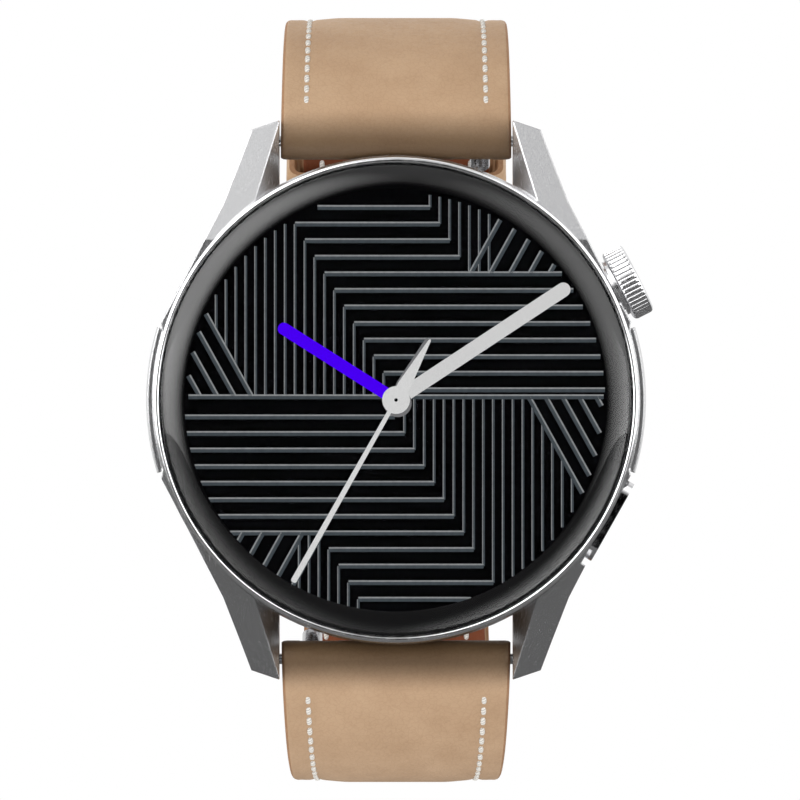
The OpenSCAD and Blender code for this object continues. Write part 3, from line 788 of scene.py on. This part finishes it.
def make_strap(m):
    """Both halves of the strap: leather, lining and stitches, with their cuts."""
    upper = Half(1, UPPER_W, UPPER_LEN, True)
    lower = Half(-1, LOWER_W, LOWER_LEN, False)
    for half, prefix in ((upper, "upper"), (lower, "lower")):
        body = prefix + "_strap"
        end = half.length + (END_ROLL_R if half.rolled_end else 0)
        skin = strap_skin(prefix + "_leather_skin", half, body, -ROLL_R, end, outer_layer(half),
                          [m["strap_leather"], m["strap_edge"]])
        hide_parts(prefix + "_leather")
        lining_end = half.length - (4.6 if half.rolled_end else 0.35)
        lining = strap_skin(prefix + "_lining_skin", half, body, FOLD_LEN + 0.05, lining_end,
                            lining_layer(half), [m["rust_lining"]] * 2, inset=0.4)
        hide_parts(prefix + "_lining")
        cut(skin, [notch_tool(half.side)])
        if half is upper:
            cut(skin, [tongue_tool()])
        else:
            cut(skin, hole_tools())
            cut(lining, hole_tools())
        for piece in (skin, lining):
            sharpen(piece, 50)
        last = half.length - (6 if half.rolled_end else 3)
        top = stitch_rows(half, FIRST_STITCH, last, lambda s, h=half: h.top(s) - 0.1, 1, STITCH_INSET)
        under = stitch_rows(half, FIRST_STITCH + 2, last, lambda s: -STRAP_T / 2 + 0.02, -1,
                            STITCH_INSET - 0.1)
        stitch_mesh(prefix + "_stitches", top, m["thread"], body)
        stitch_mesh(prefix + "_lining_stitches", under, m["thread"], body)


def keeper(name, node, span, m, body):
    """A leather band round the strap: a rounded strip swept round a rectangle with soft corners."""
    low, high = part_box(node)
    half_x = (high[0] - low[0]) / 2 / MM
    wall, corner = KEEPER_WALL, KEEPER_CORNER
    inner = LOOP_R - STRAP_T / 2 - KEEPER_GAP - wall
    outer = LOOP_R + STRAP_T / 2 + KEEPER_ROOM + wall
    path = []
    for cx, cr, start in ((1, 1, 0), (-1, 1, 90), (-1, -1, 180), (1, -1, 270)):
        middle = (cx * (half_x - corner), (outer - corner) if cr > 0 else (inner + corner))
        path += [(p, (math.cos(math.radians(a)), math.sin(math.radians(a))))
                 for p, a in zip(arc(middle, corner, start, start + 90, 6), range(start, start + 91, 15))]
    across_steps = 14
    verts, faces, slots = [], [], []
    ring = 2 * (across_steps + 1)
    for (x, r), (nx, nr) in path:
        section = []
        for i in range(across_steps + 1):
            f = i / across_steps * 2 - 1
            crease = 0.07 * math.exp(-((abs(f) - 0.76) / 0.07) ** 2)
            section.append((f, wall / 2 * (1 - 0.55 * abs(f) ** 8) - crease))
        for sign, order in ((1, section), (-1, section[::-1])):
            for f, t in order:
                a = math.radians((span[0] + span[1]) / 2 + f * (span[1] - span[0]) / 2)
                depth = -wall / 2 + (t if sign > 0 else -wall / 2 * (1 - 0.55 * abs(f) ** 8))
                rr = r + nr * depth
                verts.append((x + nx * depth, LOOP_Y + rr * math.cos(a), rr * math.sin(a)))
    count = len(path)
    for i in range(count):
        for j in range(ring):
            k = (j + 1) % ring
            nxt = (i + 1) % count
            faces.append((i * ring + j, i * ring + k, nxt * ring + k, nxt * ring + j))
            slots.append(1 if j in (across_steps, ring - 1) else 0)
    obj = make_piece(name, verts, faces, [m["tan_leather"], m["tan_edge"]], body,
                     face_slots=slots)
    clean(obj)
    sharpen(obj, 60)
    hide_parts(node)


# ---------- bezel, glass and the displayed dial ----------

def make_glass(m):
    """The bezel ring with its rounded rim, the domed glass and the black border under the glass."""
    r_in, r_out, edge = BEZEL_R - BEZEL_W, BEZEL_R, BEZEL_EDGE_R
    outline = [(r_in, RIM_H), (r_out, RIM_H)]
    outline += arc((r_out - edge, BEZEL_HIGH - edge), edge, 0, 90, 8)
    outline += arc((r_in + edge, BEZEL_HIGH - edge), edge, 90, 180, 8)
    bezel = lathe("bezel_ring_polished", outline, m["bezel_steel"], "case", 360)
    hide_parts("bezel_ring")
    rise = math.degrees(math.acos((GLASS_R - GLASS_FLAT_R) / GLASS_EDGE_R))
    outline = [(0.0, GLASS_LOW), (GLASS_R - 0.1, GLASS_LOW), (GLASS_R, GLASS_LOW + 0.1)]
    outline += arc((GLASS_FLAT_R, CASE_H - GLASS_EDGE_R), GLASS_EDGE_R, rise, 90, 16)
    outline += [(GLASS_FLAT_R * (1 - (i / 5) ** 2), CASE_H) for i in range(1, 6)]
    glass = lathe("cover_glass_domed", outline, m["cover_glass"], "case", 360)
    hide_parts("cover_glass")
    inner, outer, low = GLASS_FLAT_R + 0.15, GLASS_R - 0.1, GLASS_LOW - 0.025
    lathe("glass_border", [(inner, low), (outer, low), (outer, low + 0.02), (inner, low + 0.02)],
          m["border_ink"], "case", 256)


def on_circle(p, d, radius=DIAL_R):
    """How far along d from p the display's edge is."""
    b = p[0] * d[0] + p[1] * d[1]
    c = p[0] ** 2 + p[1] ** 2 - radius ** 2
    return -b + math.sqrt(max(0.0, b * b - c))


def dial_segments(midline, first_base, first_foot, foot_step, feet):
    """One half's lines: start, direction, length, width. The lower half is the same, turned round."""
    lines = []
    right, up = (1, 0), (0, 1)
    first_x, first_z = FIRST_CORNER
    corners = [(first_x + k * LINE_DX, first_z - k * LINE_DZ) for k in range(-1, 11)]
    for k, (x, z) in enumerate(corners, start=-1):
        left = max(x, -math.sqrt(max(0.0, DIAL_R ** 2 - z * z)))
        if k < 3:
            stop = FIRST_STOP + (k + 1) * LINE_DX
            lines.append(((left, z), right, stop - left, WIDE))
            lines.append(((stop, z), up, on_circle((stop, z), up), THIN))
        else:
            lines.append(((left, z), right, on_circle((left, z), right), WIDE))
        if k >= 0:
            lines.append(((x, midline), up, z - midline, THIN))
    base = corners[4][1]
    for i in range(3):
        x = FIRST_STOP + (4 + i) * LINE_DX
        lines.append(((x, base), up, on_circle((x, base), up), THIN))
    lean_right = (math.cos(LEAN), math.sin(LEAN))
    for i in range(5):
        p = (first_base + i * 2 * LINE_DX, base)
        lines.append((p, lean_right, on_circle(p, lean_right), WIDE))
    lean_left = (-math.cos(LEAN), math.sin(LEAN))
    foot = [(first_foot - i * foot_step, midline) for i in range(feet)]
    for p in foot:
        lines.append((p, lean_left, on_circle(p, lean_left), WIDE))
    for i in range(1, 9):
        x = first_x - i * LINE_DX
        z = midline if x > foot[0][0] else midline + (foot[0][0] - x) * math.tan(LEAN)
        top = math.sqrt(max(0.0, DIAL_R ** 2 - x * x))
        if top > z + 0.3:
            lines.append(((x, z), up, top - z, THIN))
    return lines


def make_dial():
    """The displayed pattern, just over the panel and under the glass."""
    level = DISPLAY_H + 0.004
    verts, faces, uvs = [], [], []
    middle = [((-LONG_LINE, MIDLINE), (1, 0), 2 * LONG_LINE, WIDE)]
    halves = ((1, 0, 0, middle + dial_segments(MIDLINE, 6.95, -13.48, 1.61, 4)),
              (-1, -0.34, -0.39, dial_segments(-0.81, 6.58, -12.75, 1.58, 5)))
    for turn, shift_x, shift_z, segments in halves:
        for (x, z), (dx, dz), length, width in segments:
            if length <= 0.1:
                continue
            nx, nz = -dz, dx
            if nz < 0 or (abs(nz) < 1e-6 and nx > 0):
                nx, nz = -nx, -nz
            start = len(verts)
            for along, off in ((0, -1), (1, -1), (1, 1), (0, 1)):
                px = x + dx * length * along + nx * off * width / 2
                pz = z + dz * length * along + nz * off * width / 2
                lift = 0.002 if width > THIN else 0
                verts.append((turn * px + shift_x, -(level + lift), turn * pz + shift_z - DIAL_DROP))
            faces.append(tuple(range(start, start + 4)))
            uvs += [(0, v) for v in ((0, 0, 1, 1) if turn > 0 else (1, 1, 0, 0))]
    line = lit_line("dial_line", srgb(150, 152, 153), srgb(70, 77, 82))
    make_piece("dial_lines", verts, faces, [line], "case", uvs=uvs, smooth=False)


def hand(name, angle, points, level, material):
    """A flat hand from an outline that points up, turned to a clock angle."""
    c, s = math.cos(math.radians(angle)), math.sin(math.radians(angle))
    verts = [(x * c + z * s, -level, z * c - x * s) for x, z in points]
    n = len(verts)
    back = [(x, y + 0.003, z) for x, y, z in verts]
    faces = [tuple(range(n)), tuple(range(2 * n - 1, n - 1, -1))]
    faces += [(i, (i + 1) % n, n + (i + 1) % n, n + i) for i in range(n)]
    make_piece(name, verts + back, faces, [material], "case", smooth=False)


def bar_points(half, start, end):
    """A bar with a round end."""
    return [(half, start)] + arc((0, end - half), half, 0, 180, 12) + [(-half, start)]


def make_hands():
    """The displayed hands and hub, each a little over the last."""
    base = DISPLAY_H + 0.01
    violet = lit("hour_violet", srgb(76, 0, 255))
    pale = lit("hand_pale", srgb(216, 216, 216))
    paler = lit("hand_second", srgb(222, 222, 222))
    shade = lit("hand_shade", srgb(120, 120, 122))
    dark = lit("hub_dark", srgb(20, 20, 22))
    hand("hour_hand_image", HOUR_ANGLE, bar_points(0.58, 0.6, HOUR_LEN), base, violet)
    hand("minute_hand_image", MINUTE_ANGLE, bar_points(0.68, 0.0, MINUTE_LEN), base + 0.004, pale)
    hub = arc((0, 0), HUB_R, 0, 350, 35)
    shadow = [(x + 0.16, z - 0.3) for x, z in hub]
    hand("hub_shadow_image", 0, shadow, base + 0.008, shade)
    hand("hub_image", 0, hub, base + 0.012, paler)
    right_side = [(0.2, 1.0), (0.28, 19.4), (0.2, 19.55)]
    left_side = [(-x, z) for x, z in reversed(right_side)]
    left_tail = [(-0.6, -1.0), (-0.62, -1.6), (-0.12, -6.4)]
    right_tail = [(-x, z) for x, z in reversed(left_tail)]
    second = right_side + left_side + left_tail + [(0.0, -6.55)] + right_tail
    tail = [(x * 1.1, z) for x, z in second if z < 0]
    hand("second_shadow_image", SECOND_ANGLE - 2.6, tail, base + 0.010, shade)
    hand("second_hand_image", SECOND_ANGLE, second, base + 0.016, paler)
    hand("hub_dot_image", 0, arc((0, 0), 0.17, 0, 340, 17), base + 0.02, dark)


# ---------- stage ----------

def make_floor():
    """A pale floor, low enough for the lower strap to swing down.

    The camera sees it white, the metals and glass mirror it grey, and it lights the leather from below.
    """
    low = CAD_BOX[0][2] - FLOOR_DROP
    mesh = bpy.data.meshes.new("floor")
    turns = [math.radians(a) for a in range(0, 360, 6)]
    ring = [(FLOOR_R * math.cos(a), FLOOR_R * math.sin(a), low) for a in turns]
    mesh.from_pydata(ring, [], [tuple(range(len(ring)))])
    floor = bpy.data.objects.new("floor", mesh)
    bpy.context.scene.collection.objects.link(floor)
    s = Shader("floor_pale", FLOOR_GREY, 0.9, Specular_IOR_Level=0.1)
    path = s.add("ShaderNodeLightPath")
    seen = s.add("ShaderNodeMath", operation="MULTIPLY")
    seen.inputs[1].default_value = FLOOR_WHITE
    bounce = s.add("ShaderNodeMath", operation="MULTIPLY_ADD")
    bounce.inputs[1].default_value = FLOOR_BOUNCE
    s.link(path.outputs["Is Camera Ray"], seen.inputs[0])
    s.link(path.outputs["Is Diffuse Ray"], bounce.inputs[0])
    s.link(seen.outputs[0], bounce.inputs[2])
    s.set("Emission Color", WHITE)
    s.drive("Emission Strength", bounce.outputs[0])
    mesh.materials.append(s.mat)


def make_room():
    """A white room to the camera, an even light to the leather, and soft panels to the metals and glass."""
    world = bpy.data.worlds.new("room")
    bpy.context.scene.world = world
    world.use_nodes = True
    world.cycles.sampling_method = "NONE"
    tree = world.node_tree

    def light(strength):
        node = tree.nodes.new("ShaderNodeBackground")
        node.inputs["Color"].default_value = WHITE
        node.inputs["Strength"].default_value = strength
        return node

    def choose(fac, first, second):
        node = tree.nodes.new("ShaderNodeMixShader")
        tree.links.new(fac, node.inputs["Fac"])
        tree.links.new(first.outputs[0], node.inputs[1])
        tree.links.new(second.outputs[0], node.inputs[2])
        return node

    def soften(value, low, high, top):
        node = tree.nodes.new("ShaderNodeMapRange")
        node.interpolation_type = "SMOOTHSTEP"
        set_range(node, low, high, 0.0, top)
        tree.links.new(value, node.inputs["Value"])
        return node.outputs["Result"]

    where = tree.nodes.new("ShaderNodeTexCoord").outputs["Generated"]
    total = None
    for direction, low, high, strength in ROOM_LIGHTS:
        dot = tree.nodes.new("ShaderNodeVectorMath")
        dot.operation = "DOT_PRODUCT"
        dot.inputs[1].default_value = Vector(direction).normalized()
        tree.links.new(where, dot.inputs[0])
        glow = soften(dot.outputs["Value"], low, high, strength)
        if total is None:
            total = glow
        else:
            both = tree.nodes.new("ShaderNodeMath")
            both.operation = "ADD"
            tree.links.new(total, both.inputs[0])
            tree.links.new(glow, both.inputs[1])
            total = both.outputs["Value"]
    walls = light(1.0)
    tree.links.new(total, walls.inputs["Strength"])
    path = tree.nodes.new("ShaderNodeLightPath")
    lit_or_seen = choose(path.outputs["Is Glossy Ray"], light(ROOM_SOFT), walls)
    last = choose(path.outputs["Is Camera Ray"], lit_or_seen, light(1.0))
    tree.links.new(last.outputs[0], tree.nodes["World Output"].inputs["Surface"])


def lamp(name, place, size, power):
    """A soft rectangular lamp that points at the object, and that metals and glass don't mirror."""
    data = bpy.data.lights.new(name, "AREA")
    data.shape = "RECTANGLE"
    data.size, data.size_y = size
    data.energy = power
    obj = bpy.data.objects.new(name, data)
    obj.location = place
    obj.visible_glossy = False
    obj.visible_transmission = False
    aim = Vector((0, 0.01, 0)) - Vector(place)
    obj.rotation_mode = "QUATERNION"
    obj.rotation_quaternion = aim.to_track_quat("-Z", "Y")
    bpy.context.scene.collection.objects.link(obj)


def make_camera():
    """Straight at the dial with a long lens."""
    data = bpy.data.cameras.new("camera")
    data.sensor_width = 36
    data.lens = data.sensor_width * CAMERA_FAR / CAMERA_SEES
    data.clip_start, data.clip_end = 0.05, 20
    cam = bpy.data.objects.new("camera", data)
    cam.location = (CAMERA_X, -BEZEL_HIGH * MM - CAMERA_FAR, 0)
    cam.rotation_euler = (math.radians(90), 0, 0)
    bpy.context.scene.collection.objects.link(cam)
    bpy.context.scene.camera = cam


# ---------- the whole scene ----------

def dress_nodes(m):
    """Gives every CAD node that stays the material of its slot."""
    slots = {p["node"]: p["material_slot"] for p in frame["record"]["subparts"]}
    for name, obj in frame["nodes"].items():
        obj.data.materials.clear()
        obj.data.materials.append(m[slots[name]])


def main():
    """Builds everything."""
    bpy.context.scene.view_settings.view_transform = "Standard"
    materials = make_materials()
    make_camera()
    for name, place, size, power in LAMPS:
        lamp(name, place, size, power)
    make_floor()
    make_room()
    dress_nodes(materials)
    make_glass(materials)
    make_dial()
    make_hands()
    make_strap(materials)
    keeper("fixed_keeper_band", "fixed_keeper", FIXED_KEEPER_SPAN, materials, "upper_strap")
    keeper("free_keeper_band", "free_keeper", FREE_KEEPER_SPAN, materials, "free_keeper")


main()
